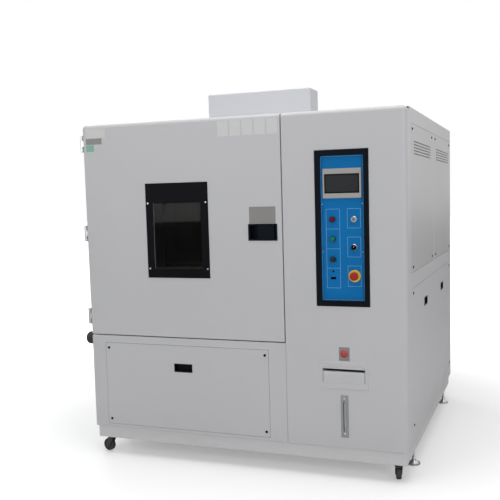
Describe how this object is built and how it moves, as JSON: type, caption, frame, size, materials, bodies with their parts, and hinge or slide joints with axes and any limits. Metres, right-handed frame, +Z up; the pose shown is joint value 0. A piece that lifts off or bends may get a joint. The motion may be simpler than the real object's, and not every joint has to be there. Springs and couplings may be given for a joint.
{
  "type": "environmental test chamber",
  "caption": "Floor-standing climatic test chamber: windowed door, recessed control panel, water drawer, level gauge, side service panels, roof fan cover, casters and levelling feet.",
  "frame": {"origin": "centre of the overall footprint, on the floor under the levelling feet", "axes": "+X to the right seen from the front, +Y from the door to the rear, +Z up"},
  "size_m": [1.878, 1.736, 2.138],
  "materials": {
    "grey_coat": "light grey powder coat, fine orange peel",
    "stainless": "brushed stainless sheet",
    "dark_element": "heat-darkened steel",
    "foam": "rigid foam",
    "coil_fins": "thin fins",
    "machine_black": "black machine paint",
    "fan_metal": "pressed aluminium",
    "fan_plastic": "moulded plastic",
    "tank_plastic": "milky moulded plastic",
    "gear": "switchgear housings",
    "black_trim": "fine-grained black plastic",
    "gauge_metal": "satin cover plate",
    "black_steel": "blackened steel",
    "hinge_metal": "satin plating",
    "seal_rubber": "soft silicone",
    "window_pane": "clear pane",
    "blue_plate": "blue film on sheet",
    "hmi_case": "moulded case",
    "screen_dark": "dark display cover",
    "signal": "plated rings and coloured lenses",
    "stop_yellow": "yellow plastic",
    "stop_red": "red plastic",
    "caster_steel": "zinc plated pressing",
    "caster_tread": "hard tread"
  },
  "bodies": {
    "cabinet": {"air_baffle": "stainless", "base_frame": "grey_coat", "cable_boot": "seal_rubber", "column_front": "grey_coat", "compressors": "machine_black", "condenser": "coil_fins", "control_bezel": "black_trim", "control_plate": "blue_plate", "drawer_frame": "grey_coat", "electrical_plate": "gear", "estop_collar": "stop_yellow", "evaporator": "coil_fins", "fan_motors": "machine_black", "finger_pulls": "black_trim", "front_access_panel": "grey_coat", "gauge_plate": "gauge_metal", "heater": "dark_element", "hinges_fixed": "hinge_metal", "hmi": "hmi_case", "insulation": "foam", "left_panel": "grey_coat", "liner": "stainless", "lower_fascia": "grey_coat", "lower_side_panel": "grey_coat", "motor_cover": "grey_coat", "panel_screws": "black_steel", "rear_panel": "grey_coat", "screen": "screen_dark", "side_frame": "grey_coat", "signal_units": "signal", "switch_rings": "hinge_metal", "top_panel": "grey_coat", "upper_side_panels": "grey_coat", "water_tank": "tank_plastic", "wire_shelves": "stainless"},
    "door": {"door_skin": "grey_coat", "door_core": "stainless", "door_gasket": "seal_rubber", "window_frame": "black_trim", "window_glass": "window_pane", "latch_housing": "black_trim", "hinges_moving": "hinge_metal"},
    "latch_paddle": {"latch_paddle": "black_trim"},
    "estop_head": {"estop_head": "stop_red"},
    "key_barrel": {"key_barrel": "hinge_metal"},
    "selector_knob": {"selector_knob": "black_trim"},
    "water_drawer": {"water_drawer": "grey_coat"},
    "fan_rotor_left": {"fan_rotor_left": "fan_metal"},
    "fan_rotor_right": {"fan_rotor_right": "fan_metal"},
    "condenser_fan": {"condenser_fan": "fan_plastic"},
    "fork_front_left": {"fork_front_left": "caster_steel"},
    "fork_front_right": {"fork_front_right": "caster_steel"},
    "wheel_front_left": {"wheel_front_left": "caster_tread"},
    "foot_front_left": {"foot_front_left": "caster_steel"},
    "wheel_front_right": {"wheel_front_right": "caster_tread"},
    "foot_front_right": {"foot_front_right": "caster_steel"},
    "wheel_rear_left": {"wheel_rear_left": "caster_tread"},
    "foot_rear_left": {"foot_rear_left": "caster_steel"},
    "wheel_rear_right": {"wheel_rear_right": "caster_tread"},
    "foot_rear_right": {"foot_rear_right": "caster_steel"}
  },
  "joints": [
    {"name": "door_swing", "type": "hinge", "parent": "cabinet", "child": "door", "pos_m": [-0.861, -0.828, 1.254], "axis": [0, 0, -1], "range_deg": [0, 120]},
    {"name": "latch_pull", "type": "hinge", "parent": "door", "child": "latch_paddle", "pos_m": [0.26, -0.843, 1.253], "axis": [0, 0, 1], "range_deg": [0, 40], "stiffness_Nm_per_rad": 0.5},
    {"name": "estop_push", "type": "slide", "parent": "cabinet", "child": "estop_head", "axis": [0, 1, 0], "range_m": [0, 0.006]},
    {"name": "key_turn", "type": "hinge", "parent": "cabinet", "child": "key_barrel", "pos_m": [0.674, -0.852, 1.312], "axis": [0, 1, 0], "range_deg": [0, 90]},
    {"name": "selector_turn", "type": "hinge", "parent": "cabinet", "child": "selector_knob", "pos_m": [0.674, -0.852, 1.175], "axis": [0, -1, 0], "range_deg": [0, 90]},
    {"name": "drawer_slide", "type": "slide", "parent": "cabinet", "child": "water_drawer", "axis": [0, -1, 0], "range_m": [0, 0.18]},
    {"name": "fan_left_spin", "type": "hinge", "parent": "cabinet", "child": "fan_rotor_left", "pos_m": [-0.4575, 0.459, 1.845], "axis": [0, 0, 1], "continuous": true},
    {"name": "fan_right_spin", "type": "hinge", "parent": "cabinet", "child": "fan_rotor_right", "pos_m": [-0.0775, 0.459, 1.845], "axis": [0, 0, 1], "continuous": true},
    {"name": "condenser_fan_spin", "type": "hinge", "parent": "cabinet", "child": "condenser_fan", "pos_m": [-0.2675, 0.79, 0.385], "axis": [0, 1, 0], "continuous": true},
    {"name": "swivel_front_left", "type": "hinge", "parent": "cabinet", "child": "fork_front_left", "pos_m": [-0.779, -0.79, 0.0745], "axis": [0, 0, 1], "continuous": true},
    {"name": "roll_front_left", "type": "hinge", "parent": "fork_front_left", "child": "wheel_front_left", "pos_m": [-0.7987, -0.78653, 0.037], "axis": [-0.1736, -0.9848, 0], "continuous": true},
    {"name": "swivel_front_right", "type": "hinge", "parent": "cabinet", "child": "fork_front_right", "pos_m": [0.873, -0.79, 0.0745], "axis": [0, 0, 1], "continuous": true},
    {"name": "roll_front_right", "type": "hinge", "parent": "fork_front_right", "child": "wheel_front_right", "pos_m": [0.86782, -0.77068, 0.037], "axis": [-0.9659, -0.2588, 0], "continuous": true},
    {"name": "roll_rear_left", "type": "hinge", "parent": "cabinet", "child": "wheel_rear_left", "pos_m": [-0.779, 0.826, 0.037], "axis": [-1, 0, 0], "continuous": true},
    {"name": "roll_rear_right", "type": "hinge", "parent": "cabinet", "child": "wheel_rear_right", "pos_m": [0.873, 0.826, 0.037], "axis": [-1, 0, 0], "continuous": true},
    {"name": "level_front_left", "type": "slide", "parent": "cabinet", "child": "foot_front_left", "axis": [0, 0, -1], "range_m": [0, 0.015]},
    {"name": "level_front_right", "type": "slide", "parent": "cabinet", "child": "foot_front_right", "axis": [0, 0, -1], "range_m": [0, 0.015]},
    {"name": "level_rear_left", "type": "slide", "parent": "cabinet", "child": "foot_rear_left", "axis": [0, 0, -1], "range_m": [0, 0.015]},
    {"name": "level_rear_right", "type": "slide", "parent": "cabinet", "child": "foot_rear_right", "axis": [0, 0, -1], "range_m": [0, 0.015]}
  ]
}
